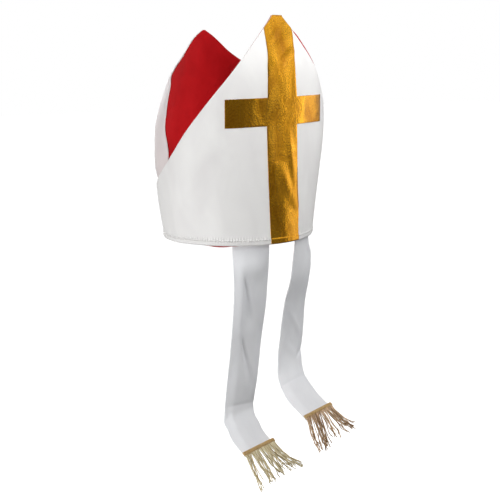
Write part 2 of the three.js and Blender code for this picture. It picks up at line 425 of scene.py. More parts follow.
def new_tree(name: str, sizes: Sequence[str], others: dict[str, str]) -> tuple[Tree, bpy.types.NodeOutputs]:
    """Starts a geometry tree that takes a guide and named inputs.

    Args:
        name: Name of the tree.
        sizes: Names of its number inputs.
        others: Socket type of each other input.

    Returns:
        The tree and the sockets of its inputs.
    """
    tree = bpy.data.node_groups.new(name, "GeometryNodeTree")
    kinds = {"Guide": "NodeSocketGeometry"} | dict.fromkeys(sizes, "NodeSocketFloat") | others
    for label, kind in kinds.items():
        tree.interface.new_socket(name=label, in_out="INPUT", socket_type=kind)
    tree.interface.new_socket(name="Result", in_out="OUTPUT", socket_type="NodeSocketGeometry")
    return tree, add(tree, "NodeGroupInput").outputs


def close_tree(tree: Tree, shape: Socket, material: Socket) -> Tree:
    """Ends a geometry tree: real smooth meshes with their material.

    Args:
        tree: Geometry tree.
        shape: What the tree has made.
        material: Input with the material.

    Returns:
        The finished tree.
    """
    real = out(tree, "GeometryNodeRealizeInstances", {"Geometry": shape})
    soft = out(tree, "GeometryNodeSetShadeSmooth", {"Geometry": real})
    dressed = out(tree, "GeometryNodeSetMaterial", {"Geometry": soft, "Material": material})
    add(tree, "NodeGroupOutput", {0: dressed})
    return tree


def grow(name: str, lines: Sequence[Array], tree: Tree, values: dict[str, object]) -> Thing:
    """Runs a geometry tree on guide lines and keeps its result as a plain mesh.

    Args:
        name: Name of the new object.
        lines: Points of each guide line in millimetres.
        tree: Geometry tree.
        values: Value of each named input.

    Returns:
        The object with the plain mesh.
    """
    guide = lines_guide(name + "_guide", lines)
    nodes = guide.modifiers.new("grow", "NODES")
    nodes.node_group = tree
    for item in tree.interface.items_tree:
        if item.in_out == "INPUT" and item.name in values:
            nodes[item.identifier] = values[item.name]
    evaluated = guide.evaluated_get(bpy.context.evaluated_depsgraph_get())
    mesh = bpy.data.meshes.new_from_object(evaluated)
    bpy.data.objects.remove(guide)
    mesh.name = name
    made = bpy.data.objects.new(name, mesh)
    bpy.context.scene.collection.objects.link(made)
    return made


def lines_guide(name: str, lines: Sequence[Array]) -> Thing:
    """Makes a guide object of open lines.

    Args:
        name: Name of the guide.
        lines: Points of each line in millimetres.

    Returns:
        The guide object.
    """
    edges: list[tuple[int, int]] = []
    start = 0
    for line in lines:
        edges += [(start + k, start + k + 1) for k in range(len(line) - 1)]
        start += len(line)
    return make_object(name, np.concatenate(lines), (), edges=edges)


def stitch_tree() -> Tree:
    """Makes the tree that sets short thread stitches along guide lines.

    Returns:
        Tree with the inputs Pitch, Length, Width, Slant, Face and Thread.
    """
    others = {"Face": "NodeSocketVector", "Thread": "NodeSocketMaterial"}
    tree, given = new_tree("thread_stitches", ("Pitch", "Length", "Width", "Slant"), others)
    line = out(tree, "GeometryNodeMeshToCurve", {"Mesh": given["Guide"]})
    spaced = {"Curve": line, "Length": given["Pitch"]}
    spots = add(tree, "GeometryNodeCurveToPoints", spaced, mode="LENGTH").outputs
    turned = {"Vector": spots["Tangent"], "Axis": given["Face"], "Angle": given["Slant"]}
    lie = out(tree, "ShaderNodeVectorRotate", turned, rotation_type="AXIS_ANGLE")
    turn = out(tree, "FunctionNodeAlignRotationToVector", {"Vector": lie}, axis="Z")
    bead = out(tree, "GeometryNodeMeshUVSphere", {"Segments": 8, "Rings": 6, "Radius": 0.5}, "Mesh")
    scale = out(tree, "ShaderNodeCombineXYZ", {0: given["Width"], 1: given["Width"], 2: given["Length"]})
    placed = {"Points": spots["Points"], "Instance": bead, "Rotation": turn, "Scale": scale}
    return close_tree(tree, out(tree, "GeometryNodeInstanceOnPoints", placed), given["Thread"])


def cord_tree() -> Tree:
    """Makes the tree that spins twisted two-ply cords along guide lines.

    Returns:
        Tree with the inputs Radius, Flatness, Twist pitch, Step, Wander, Wander length, Seed and Cord.
    """
    sizes = ("Radius", "Flatness", "Twist pitch", "Step", "Wander", "Wander length", "Seed")
    tree, given = new_tree("twisted_cords", sizes, {"Cord": "NodeSocketMaterial"})
    seed = given["Seed"]

    def sum_up(operation: str, *values: object) -> Socket:
        """Adds a Math node."""
        return out(tree, "ShaderNodeMath", dict(enumerate(values)), operation=operation)

    def move(operation: str, inputs: Inputs) -> Socket:
        """Adds a Vector Math node."""
        return out(tree, "ShaderNodeVectorMath", inputs, operation=operation)

    # Each cord gets its own number, which its colour and its wander read.
    line = out(tree, "GeometryNodeMeshToCurve", {"Mesh": given["Guide"]})
    strand = out(tree, "GeometryNodeInputIndex")
    pick = out(tree, "FunctionNodeRandomValue", {"ID": strand, "Seed": seed}, 1, data_type="FLOAT")
    mark = {"Geometry": line, "Name": "strand", "Value": pick}
    marked = out(tree, "GeometryNodeStoreNamedAttribute", mark, data_type="FLOAT", domain="CURVE")
    fine = out(tree, "GeometryNodeResampleCurve", {"Curve": marked, "Length": given["Step"]}, mode="LENGTH")
    # The cord wanders more towards its free end.
    along = add(tree, "GeometryNodeSplineParameter").outputs
    spread = move("DIVIDE", {0: out(tree, "GeometryNodeInputPosition"), 1: given["Wander length"]})
    own = out(tree, "GeometryNodeInputNamedAttribute", {"Name": "strand"}, data_type="FLOAT")
    shift = sum_up("MULTIPLY_ADD", own, STRAND_SHIFT, seed)
    waves = {"Vector": spread, "W": shift, "Scale": 1.0, "Detail": 1.0}
    wave = out(tree, "ShaderNodeTexNoise", waves, "Color", noise_dimensions="4D")
    centred = move("SUBTRACT", {0: wave, 1: (0.5, 0.5, 0.5)})
    offset = move("SCALE", {0: centred, "Scale": sum_up("MULTIPLY", along["Factor"], given["Wander"])})
    bent = out(tree, "GeometryNodeSetPosition", {"Geometry": fine, "Offset": offset})
    # A flat section that turns as it goes reads as two plies.
    turns = sum_up("DIVIDE", along["Length"], given["Twist pitch"])
    tilt = sum_up("MULTIPLY", turns, 2 * math.pi)
    twisted = out(tree, "GeometryNodeSetCurveTilt", {"Curve": bent, "Tilt": tilt})
    full = out(tree, "GeometryNodeSetCurveRadius", {"Curve": twisted, "Radius": 1.0})
    size = {"Resolution": 8, "Radius": given["Radius"]}
    ring = out(tree, "GeometryNodeCurvePrimitiveCircle", size, mode="RADIUS")
    shape = out(tree, "ShaderNodeCombineXYZ", {0: 1.0, 1: given["Flatness"], 2: 1.0})
    oval = out(tree, "GeometryNodeTransform", {"Geometry": ring, "Scale": shape})
    swept = {"Curve": full, "Profile Curve": oval, "Fill Caps": True}
    return close_tree(tree, out(tree, "GeometryNodeCurveToMesh", swept), given["Cord"])


class Finish:
    """A node material in the making, with the kinds of node that the hat's finishes share."""

    def __init__(self, name: str) -> None:
        """Starts a material named for the real one."""
        self.material = bpy.data.materials.new(name)
        self.material.use_nodes = True
        self.tree = self.material.node_tree
        self.shader = self.tree.nodes["Principled BSDF"]

    def node(
        self, kind: str, inputs: Inputs | None = None, socket: str | int = 0, **settings: object
    ) -> Socket:
        """Adds a node and gives one of its outputs."""
        return out(self.tree, kind, inputs, socket, **settings)

    def noise(self, place: Socket, size: float, detail: float, bend: float = 0.0) -> Socket:
        """Adds noise with features of about this size in millimetres."""
        grain = {"Vector": place, "Scale": 1 / (size * MM), "Detail": detail, "Distortion": bend}
        return self.node("ShaderNodeTexNoise", grain)

    def bands(self, place: Socket, period: float, way: str = "X") -> Socket:
        """Adds bands that repeat at this period in millimetres."""
        scale = math.pi / 10 / (period * MM)
        return self.node("ShaderNodeTexWave", {"Vector": place, "Scale": scale}, 1, bands_direction=way)

    def product(self, value: Socket, factor: object, added: object = 0.0) -> Socket:
        """Multiplies a value and adds another one."""
        return self.node("ShaderNodeMath", {0: value, 1: factor, 2: added}, operation="MULTIPLY_ADD")

    def remap(self, value: Socket, ends: tuple[float, float], to: tuple[float, float] = (0.0, 1.0)) -> Socket:
        """Maps one range of a value to another."""
        names = ("From Min", "From Max", "To Min", "To Max")
        return self.node("ShaderNodeMapRange", {"Value": value} | dict(zip(names, (*ends, *to))))

    def blend(self, share: Socket, dark: str, light: str) -> Socket:
        """Mixes two colours."""
        return self.node("ShaderNodeMix", {0: share, 6: linear(dark), 7: linear(light)}, 2, data_type="RGBA")

    def bump(self, height: Socket, relief: float, normal: Socket | None = None) -> Socket:
        """Raises relief of so many millimetres on a normal."""
        inputs: Inputs = {"Height": height, "Distance": relief * MM, "Strength": 1.0}
        return self.node("ShaderNodeBump", inputs | ({"Normal": normal} if normal else {}))

    def done(self, colour: Socket, roughness: Socket, normal: Socket, **constants: object) -> Material:
        """Joins the shader.

        Args:
            colour: Base colour.
            roughness: Roughness.
            normal: Normal.
            **constants: Value of each other input of the shader, spaces as underscores.

        Returns:
            The finished material.
        """
        for name, socket in (("Base Color", colour), ("Roughness", roughness), ("Normal", normal)):
            self.tree.links.new(socket, self.shader.inputs[name])
        for name, value in constants.items():
            self.shader.inputs[name.replace("_", " ")].default_value = value
        return self.material


@dataclass(frozen=True)
class WovenCloth:
    """A cloth with a fine plain weave and shallow wrinkles, its colour a little darker in the wrinkles'
    hollows as painted shade.
    """

    name: str
    light: str
    dark: str
    roughness: float
    sheen: float
    sheen_tint: str
    thread: float
    weave_relief: float
    wrinkle: float
    wrinkle_relief: float
    specular: float = 0.4
    stretch: float = 1.0
    gather: float = 0.0
    wrinkle_bend: float = 0.6
    # Span of the wrinkle noise over which the colour goes from dark to light: painted shade in the hollows.
    hollow_shade_range: tuple[float, float] = (0.3, 0.7)
    weave_share: float = 0.12
    gloss_change: float = 0.08

    def gathered(self, finish: Finish, flat: Socket, normal: Socket) -> Socket:
        """Adds the small gathers that the hem's stitches pull in the cloth.

        Args:
            finish: Material in the making.
            flat: Place on the flat cloth.
            normal: Normal of the cloth without gathers.

        Returns:
            Normal with the gathers.
        """
        height = finish.node("ShaderNodeSeparateXYZ", {0: flat}, 1)
        ticks = finish.bands(flat, STITCH_PITCH)
        for far, near in GATHER_ENDS:
            ticks = finish.product(ticks, finish.remap(height, (far * MM, near * MM)))
        return finish.bump(ticks, self.gather, normal)

    @cache
    def material(self) -> Material:
        """Builds the material on the cloth's own flat map.

        Returns:
            The material.
        """
        finish = Finish(self.name)
        flat = finish.node("ShaderNodeUVMap", uv_map="cloth")
        weave = finish.product(finish.bands(flat, self.thread), finish.bands(flat, self.thread, "Y"))
        hang = finish.node("ShaderNodeMapping", {"Vector": flat, "Scale": (1.0, 1 / self.stretch, 1.0)})
        folds = finish.noise(hang, self.wrinkle, FOLD_DETAIL, self.wrinkle_bend)
        # Darker where the wrinkles sink: painted shade in their hollows, added to the weave's pattern.
        tone = finish.product(weave, self.weave_share, finish.remap(folds, self.hollow_shade_range))
        dull, bright = self.roughness + self.gloss_change, self.roughness - self.gloss_change
        normal = finish.bump(weave, self.weave_relief, finish.bump(folds, self.wrinkle_relief))
        return finish.done(
            finish.blend(tone, self.dark, self.light),
            finish.remap(folds, (0.0, 1.0), (dull, bright)),
            self.gathered(finish, flat, normal) if self.gather else normal,
            Specular_IOR_Level=self.specular,
            Sheen_Weight=self.sheen,
            Sheen_Tint=linear(self.sheen_tint),
        )


@dataclass(frozen=True)
class CrinkledFoil:
    """Gold foil laminate: yellow lacquer over metal, which mirrors the room in a fine sparkling grain."""

    name: str = "gold foil laminate"
    gold: str = "#EFAC26"
    # Darker gold of the mottle: partly uneven lacquer, partly painted dark reflections of the room.
    deep: str = "#C07C09"
    rough: float = 0.34
    polished: float = 0.2
    crumple: float = 22.0
    crumple_relief: float = 1.2
    crumple_bend: float = 0.8
    crumple_stretch: float = 2.0
    # The foil's grain, 0.5 mm across, is drawn at 2.2 mm so that it shows.
    grain: float = 2.2
    grain_relief: float = 0.3
    grain_share: float = 0.6
    tones: tuple[float, float] = (0.55, 0.95)
    lacquer: float = 0.2
    lacquer_roughness: float = 0.2

    @cache
    def material(self) -> Material:
        """Builds the material on the foil's own flat map.

        Returns:
            The material.
        """
        finish = Finish(self.name)
        flat = finish.node("ShaderNodeUVMap", uv_map="cloth")
        drawn = (1.0, 1 / self.crumple_stretch, 1.0)
        hang = finish.node("ShaderNodeMapping", {"Vector": flat, "Scale": drawn})
        broad = finish.noise(hang, self.crumple, FOLD_DETAIL, self.crumple_bend)
        fine = finish.noise(flat, self.grain, GRAIN_DETAIL)
        # The colour mottles on the grain and crumple noise: uneven lacquer and painted dark reflections
        # together.
        tone = finish.remap(finish.product(fine, self.grain_share, broad), self.tones)
        return finish.done(
            finish.blend(tone, self.deep, self.gold),
            finish.remap(broad, (0.0, 1.0), (self.rough, self.polished)),
            finish.bump(fine, self.grain_relief, finish.bump(broad, self.crumple_relief)),
            Metallic=1.0,
            Coat_Weight=self.lacquer,
            Coat_Roughness=self.lacquer_roughness,
        )


@dataclass(frozen=True)
class TwistedCord:
    """Rayon cord wound with metallic yarn: silky, each cord a little lighter or browner than the next."""

    name: str
    pale: str
    brown: str
    yarn: float = 0.9
    yarn_relief: float = 0.2
    strand_share: float = 0.5
    tones: tuple[float, float] = (0.4, 1.0)
    gloss: tuple[float, float] = (0.55, 0.35)
    metallic: float = 0.25

    @cache
    def material(self) -> Material:
        """Builds the material on object coordinates and the strand's own number.

        Returns:
            The material.
        """
        finish = Finish(self.name)
        strand = finish.node("ShaderNodeAttribute", None, "Fac", attribute_name="strand")
        yarns = finish.noise(finish.node("ShaderNodeTexCoord", None, "Object"), self.yarn, GRAIN_DETAIL)
        tone = finish.remap(finish.product(strand, self.strand_share, yarns), self.tones)
        return finish.done(
            finish.blend(tone, self.brown, self.pale),
            finish.remap(yarns, (0.0, 1.0), self.gloss),
            finish.bump(yarns, self.yarn_relief),
            Metallic=self.metallic,
        )


# Polyester cloth laminated to a stiff backing: smooth and even, with a soft gloss and hardly a thread to see.
# The threads, 0.35 mm apart, are drawn at 0.9 mm so that they show.
LAMINATED_CLOTH = WovenCloth(
    name="white laminated polyester",
    light="#F6F5F3",
    dark="#ECEAE9",
    roughness=0.5,
    sheen=0.15,
    sheen_tint="#FFFFFF",
    thread=0.9,
    weave_relief=0.05,
    wrinkle=38,
    wrinkle_relief=0.8,
    stretch=2.2,
    gather=0.7,
)
# Plain woven lining: deep even red with hardly a shine.
LINING_CLOTH = WovenCloth(
    name="red polyester lining",
    light="#B51218",
    dark="#A90E14",
    roughness=0.8,
    sheen=0.1,
    sheen_tint="#FFB4B4",
    specular=0.08,
    thread=0.9,
    weave_relief=0.08,
    wrinkle=30,
    wrinkle_relief=0.7,
)
# Satin with its floats along the band: smooth, cool white, and glossier than the panels.
SATIN = WovenCloth(
    name="white satin",
    light="#F7F8FA",
    dark="#F0F1F4",
    roughness=0.42,
    sheen=0.2,
    sheen_tint="#F4F8FF",
    thread=0.8,
    weave_relief=0.03,
    wrinkle=22,
    wrinkle_relief=0.7,
    stretch=2.5,
)
# The same cloth on the plain panel, painted greyer and pinker: painted shade where this panel turns away from
# the lights, and a painted red glow of light coming through the lining behind it.
SHADED_GLOWING_CLOTH = replace(
    LAMINATED_CLOTH, name="white laminated cloth in painted shade and red glow", light="#ECE3E2", dark="#E4DAD9"
)
GOLD_FOIL = CrinkledFoil()
# One gold rayon cord in two copies: the left fringe's pale yellow copy carries painted light, the right
# fringe's browner, pinker copy painted shade.
LIT_GOLD_CORD = TwistedCord(name="gold rayon cord", pale="#FFF8DA", brown="#BFA25C")
SHADED_GOLD_CORD = TwistedCord(name="gold rayon cord in painted shade", pale="#FADDB8", brown="#84592F")
BRAID_CORD = TwistedCord(name="bronze gimp braid", pale="#FFE8BC", brown="#C29C60")
WHITE_THREAD = TwistedCord(name="white sewing thread", pale="#FAFAF8", brown="#E4E2DE", yarn=0.5)


@dataclass
class HatForm:
    """The hat's surface: oval level sections, the outlines of its two panels and how they lap."""

    panel_wall: float = 1.6
    lining_wall: float = 1.0
    foil_wall: float = 0.3
    gap: float = 0.35
    lining_shows: float = 0.15
    foil_gap: float = 0.12
    hem_height: float = 7.0
    hem_proud: float = 0.8
    hem_fall: tuple[float, float] = (-0.8, 0.2)
    hem_edge: float = 1.0
    hem_past: float = 1.2
    hem_clear: float = 1.0
    calm: tuple[float, float] = (4.0, 30.0)
    tuck_depth: float = 4.6
    tuck_start: float = 5.0
    tuck_turn: float = 24.0
    billow: float = 0.5
    cross_levels: tuple[Level, ...] = (
        Level(0, 104, 97, 1.3),
        Level(70, 111, 96, 1.03),
        Level(140, 115, 96, 0.8),
        Level(210, 105, 100, 0.7),
        Level(280, 85, 87, 0.97),
    )
    plain_levels: tuple[Level, ...] = (
        Level(0, 104, 99, 0.81),
        Level(70, 111, 112, 0.86),
        Level(140, 115, 103, 0.98),
        Level(205, 97, 91, 1.1),
        Level(230, 82, 88, 1.15),
        Level(280, 73, 84, 1.2),
    )
    cross_outline: tuple[Reach, ...] = (
        Reach(0, 121),
        Reach(36, 123),
        Reach(60, 119),
        Reach(80, 105.5),
        Reach(100, 91.5),
        Reach(140, 71),
        Reach(200, 44.4),
        Reach(240, 25.8),
        Reach(265, 13),
        Reach(280, 4.6),
    )
    plain_outline: tuple[Reach, ...] = (
        Reach(0, 74),
        Reach(80, 83),
        Reach(125, 89.5),
        Reach(155, 90),
        Reach(196, 83),
        Reach(208, 74),
        Reach(218, 59),
        Reach(226, 46),
        Reach(245, 27.4),
        Reach(259, 16.9),
        Reach(268, 8.6),
        Reach(274, 1),
    )

    def section(self, height: Array, angle: Array) -> tuple[Array, Array]:
        """Gives level sections of the hat.

        Args:
            height: Heights above the rim.
            angle: Angles round the hat in degrees, 0 at the middle of the cross.

        Returns:
            The x and y coordinates.
        """
        t = np.radians(angle)
        cosine = np.cos(t)

        def side(levels: tuple[Level, ...]) -> tuple[Array, Array]:
            """Reads one panel's side of the hat."""
            wide = read_at(levels, "half_width", height) * np.sin(t)
            deep = read_at(levels, "depth", height) * np.abs(cosine) ** read_at(levels, "power", height)
            return wide, deep

        cross, plain = side(self.cross_levels), side(self.plain_levels)
        near = cosine >= 0
        return np.where(near, cross[0], plain[0]), np.where(near, -cross[1], plain[1])

    def point(self, height: Array, angle: Array, offset: Array) -> Array:
        """Gives points of the hat.

        Args:
            height: Heights above the rim.
            angle: Angles round the hat in degrees.
            offset: How far outside the surface each point lies.

        Returns:
            The points, in millimetres.
        """
        height, angle, offset = np.broadcast_arrays(np.asarray(height, float), angle, offset)
        x, y = self.section(height, angle)
        x1, y1 = self.section(height, angle + TURN_STEP)
        x0, y0 = self.section(height, angle - TURN_STEP)
        run = np.hypot(x1 - x0, y1 - y0)
        lift = offset + self.waviness(height, angle)
        return np.stack([x + lift * (y1 - y0) / run, y - lift * (x1 - x0) / run, height], -1)

    def waviness(self, height: Array, angle: Array) -> Array:
        """Gives the soft unevenness of the stiff cloth, which all its layers share."""
        # Waves round the hat and up it, in turns and millimetres that are given.
        t = np.radians(angle)
        upright = np.sin(9 * t + 0.7) * np.sin(height / 61 + 0.4) + 0.6 * np.sin(17 * t + 2 + height / 140)
        level = 0.5 * np.sin(height / 23 + 3 * np.sin(2 * t))
        return self.billow * (upright + level) * smooth(height, *self.calm)

    def hem(self, height: Array) -> Array:
        """Gives how far the turned hem stands out from the cloth above it."""
        edge = smooth(height, -self.hem_proud, self.hem_edge)
        above = height - self.hem_height
        return self.hem_proud * edge * (1 - smooth(above, *self.hem_fall))

    def tuck(self, height: Array, angle: Array) -> Array:
        """Gives the plain panel's share of the tuck: 1 inside the other panel, 0 well clear of it."""
        past = np.abs(angle) - read_at(self.cross_outline, "reach", height)
        return 1 - smooth(past, self.tuck_start, self.tuck_turn)


FORM = HatForm()


def half_turn(angle: Array) -> Array:
    """Brings angles to within half a turn of the cross."""
    return np.where(angle > 180, angle - 360, angle)


def finish_piece(piece: Thing, node: str | None = None) -> None:
    """Fixes a piece to the body and hides the solid that it stands for.

    Args:
        piece: Finished mesh object.
        node: Solid that the piece replaces.
    """
    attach(piece, BODY)
    if node:
        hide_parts(node)
    LOG.info("%s: %d faces", piece.name, len(piece.data.polygons))


@dataclass
class Panel:
    """One horn of the hat: stiff white cloth with a turned hem, red lining and the hem's stitches."""

    name: str
    outline: tuple[Reach, ...]
    centre: float
    tucked: bool
    cloth_flat: tuple[float, float]
    cloth_area: float
    lining_area: float
    dips: tuple[Crease, ...] = ()
    creases: tuple[Crease, ...] = ()
    roll: float = 0.0
    rolled: tuple[float, float, float, float] = (185.0, 215.0, 256.0, 271.0)
    columns: int = 120
    row_step: float = 3.0
    hem_step: float = 0.4
    stitch_height: float = 5.0
    stitch_length: float = 2.5
    stitch_width: float = 0.9
    stitch_groove: float = 0.5
    groove_width: float = 0.5
    stitch_sunk: float = 0.1
    stitch_points: int = 400
    stitch_margin: float = 1.0
    stitch_tucked: float = 0.5
    valley_floor: float = -0.3
    dip_height: float = 9.0

    def levels(self, shows: float) -> Array:
        """Gives the heights of the rows: close together over the hem and wider above it."""
        top = self.outline[-1].height
        hem = np.arange(-shows, FORM.hem_height + FORM.hem_past, self.hem_step)
        above = np.linspace(hem[-1] + FORM.hem_clear, top + shows, int((top - hem[-1]) / self.row_step))
        return np.concatenate([hem, above])

    def grid(self, shows: float, roll: float = 0.0) -> tuple[Array, Array]:
        """Gives the grid of heights and angles that the cloth covers.

        Args:
            shows: How far the cloth stands past the panel's outline.
            roll: How much further it stands past the right free edge.

        Returns:
            Heights and angles, rows upwards.
        """
        rows = self.levels(shows)
        girth = read_at(FORM.cross_levels, "half_width", rows)
        reach = read_at(self.outline, "reach", rows) + np.degrees(shows / girth)
        shown = smooth(rows, *self.rolled[:2]) * (1 - smooth(rows, *self.rolled[2:]))
        rolled = reach + np.degrees(roll * shown / girth)
        share = np.linspace(-1, 1, self.columns + 1)[None, :]
        angle = self.centre + np.where(share > 0, rolled[:, None], reach[:, None]) * share
        return np.repeat(rows[:, None], self.columns + 1, 1), half_turn(angle)

    def tuck(self, height: Array, angle: Array) -> Array:
        """Gives the panel's share of the tuck."""
        return FORM.tuck(height, angle) if self.tucked else np.zeros_like(height)

    def flat_map(self, height: Array, angle: Array) -> Array:
        """Lays the grid out flat, along each level from the centre line.

        Args:
            height: Heights of the grid.
            angle: Angles of the grid.

        Returns:
            Place of each point on the flat cloth.
        """
        points = FORM.point(height, angle, 0.0)
        steps = np.linalg.norm(np.diff(points, axis=1), axis=-1)
        across = np.concatenate([np.zeros((len(steps), 1)), np.cumsum(steps, 1)], 1)
        return np.stack([across - across[:, -1:] / 2, height], -1)

    def build_cloth(self) -> Thing:
        """Builds the white cloth with its turned and stitched hem.

        Returns:
            The cloth.
        """
        height, angle = self.grid(0)
        tuck = self.tuck(height, angle)
        flat = self.flat_map(height, angle)
        sewn = np.exp(-(((height - self.stitch_height) / self.groove_width) ** 2))
        over = (FORM.hem(height) - self.stitch_groove * sewn) * (1 - tuck) - tuck * FORM.tuck_depth
        under = -FORM.panel_wall - tuck * FORM.tuck_depth
        outer, inner = (FORM.point(height, angle, lift) for lift in (over, under))
        cloth = make_shell(self.name + "_cloth", outer, inner, flat)
        # The plain panel's cloth is the copy with painted shade and a painted red glow.
        cloth.data.materials.append((SHADED_GLOWING_CLOTH if self.tucked else LAMINATED_CLOTH).material())
        return cloth

    def build_lining(self) -> Thing:
        """Builds the red lining, which stands a little past the cloth's edges.

        Returns:
            The lining.
        """
        height, angle = self.grid(FORM.lining_shows, self.roll)
        tuck = self.tuck(height, angle)
        flat = self.flat_map(height, angle)
        over = -FORM.panel_wall - FORM.gap - tuck * FORM.tuck_depth
        inside = np.maximum(crease_depth(self.creases, height, angle), self.valley_floor)
        under = over - FORM.lining_wall - inside
        outer, inner = (FORM.point(height, angle, lift) for lift in (over, under))
        drop = crease_depth(self.dips, height, angle) * (1 - smooth(height, 0, self.dip_height))
        outer[..., 2] -= drop
        inner[..., 2] -= drop
        lining = make_shell(self.name + "_lining_cloth", outer, inner, flat)
        lining.data.materials.append(LINING_CLOTH.material())
        return lining

    def build_stitches(self) -> Thing:
        """Sews the hem with a row of thread stitches.

        Returns:
            The stitches.
        """
        reach = read_at(self.outline, "reach", np.array([self.stitch_height]))[0] - self.stitch_margin
        angle = half_turn(self.centre + np.linspace(-reach, reach, self.stitch_points))
        level = np.full_like(angle, self.stitch_height)
        tuck = self.tuck(level, angle)
        shown = tuck < self.stitch_tucked
        lift = FORM.hem(level) * (1 - tuck) - tuck * FORM.tuck_depth - self.stitch_sunk
        line = FORM.point(level, angle, lift)[shown]
        values = {
            "Pitch": STITCH_PITCH * MM,
            "Length": self.stitch_length * MM,
            "Width": self.stitch_width * MM,
            "Slant": 0.0,
            "Face": (0.0, 0.0, 1.0),
            "Thread": WHITE_THREAD.material(),
        }
        return grow(self.name + "_stitches", [line], STITCHES, values)

    def dress(self) -> None:
        """Builds the panel's pieces and fixes them."""
        cloth, lining, stitches = self.build_cloth(), self.build_lining(), self.build_stitches()
        finish_piece(cloth, self.name)
        finish_piece(lining, self.name + "_lining")
        finish_piece(stitches)


@dataclass
class FoilCross:
    """The foil cross on the near panel, in one flat piece from the hem to the tip."""

    bar_half_length: float = 74.0
    bar_bottom: float = 148.5
    bar_top: float = 182.5
    bar_tilt: float = 0.022
    past: float = 0.8
    crinkle: float = 0.18
    crinkle_size: float = 11.0
    crinkle_drawn: float = 0.6
    # Roughness, lacunarity, octaves, offset and gain of the noise.
    crinkle_noise: tuple[float, float, int, float, float] = (1.0, 2.1, 3, 1.0, 2.0)
    crinkle_floor: float = -0.1
    creases: tuple[Crease, ...] = (
        Crease(264, 26, 225, -26, 7, 0.5),
        Crease(242, 23, 220, -10, 5, 1.3),
        Crease(262, -4, 243, -22, 3, 0.6),
        Crease(140, 10, 46, 22, 4.5, 1.2),
        Crease(98, -6, 34, 26, 7, 1.2),
        Crease(124, -18, 76, -14, 6, 0.6),
        Crease(149, -64, 182, -63, 3.5, 0.3),
        Crease(149, -54, 182, -53, 3.5, 0.3),
    )
    flat: tuple[float, float] = (0.152, 0.285)
    area: float = 0.016
    upright_cells: int = 22
    arm_cells: int = 28
    row_step: float = 2.2
    hem_step: float = 0.5
    upright: tuple[Edges, ...] = (
        Edges(0, -19.5, 25),
        Edges(165, -23, 22.5),
        Edges(215, -23.4, 18.6),
        Edges(240, -21, 19.3),
        Edges(256, -21, 20.8),
        Edges(280, -20, 21),
    )

    def levels(self) -> Array:
        """Gives the heights of the rows, with one at each edge of the bar."""
        tip = FORM.cross_outline[-1].height + self.past
        hem = np.arange(0, FORM.hem_height + FORM.hem_past, self.hem_step)
        stops = [hem[-1] + FORM.hem_clear, self.bar_bottom, self.bar_top, tip]
        runs = [np.linspace(a, b, round((b - a) / self.row_step) + 1) for a, b in zip(stops, stops[1:])]
        return np.concatenate([hem, runs[0], runs[1][1:], runs[2][1:]])

    def columns(self, height: float) -> Array:
        """Gives the places across the panel of one row's points."""
        left, right = (float(read_at(self.upright, side, np.array(height))) for side in ("left", "right"))
        arms = np.linspace(-self.bar_half_length, left, self.arm_cells + 1)
        middle = np.linspace(left, right, self.upright_cells + 1)
        far = np.linspace(right, self.bar_half_length, self.arm_cells + 1)
        return np.concatenate([arms, middle[1:], far[1:]])

    def ridges(self, across: float, height: float) -> float:
        """Gives the height of the foil's fine crinkle at one place."""
        place = Vector((across, height * self.crinkle_drawn, 0)) / self.crinkle_size
        return self.crinkle * min(max(noise.ridged_multi_fractal(place, *self.crinkle_noise) / 2, 0), 1)

    def build(self) -> Thing:
        """Builds the crinkled foil.

        Returns:
            The foil cross.
        """
        levels = self.levels()
        across = np.stack([self.columns(level) for level in levels])
        level = np.repeat(levels[:, None], across.shape[1], 1)
        tip = levels[-1]
        tilt = smooth(level, FORM.hem_height, self.bar_bottom)
        height = np.minimum(level + tilt * self.bar_tilt * across, tip)
        half_width = read_at(FORM.cross_levels, "half_width", height)
        trim = read_at(FORM.cross_outline, "reach", height) + np.degrees(self.past / half_width)
        angle = np.clip(np.degrees(np.arcsin(across / half_width)), -trim, trim)
        rough = np.array([[self.ridges(x, z) for x, z in zip(*row)] for row in zip(across, height)])
        relief = np.maximum(rough + crease_depth(self.creases, height, across), self.crinkle_floor)
        lift = FORM.hem(height) + FORM.foil_gap
        outer = FORM.point(height, angle, lift + FORM.foil_wall + relief)
        inner = FORM.point(height, angle, lift)
        columns = np.arange(across.shape[1] - 1)
        on_upright = (columns >= self.arm_cells) & (columns < self.arm_cells + self.upright_cells)
        on_bar = (levels[:-1] >= self.bar_bottom - TINY) & (levels[:-1] < self.bar_top - TINY)
        kept = on_upright[None, :] | on_bar[:, None]
        cross = make_shell("gold_cross_foil", outer, inner, np.stack([across, height], -1), kept)
        cross.data.materials.append(GOLD_FOIL.material())
        return cross

    def dress(self) -> None:
        """Builds the cross and fixes it."""
        cross = self.build()
        finish_piece(cross, "gold_cross")


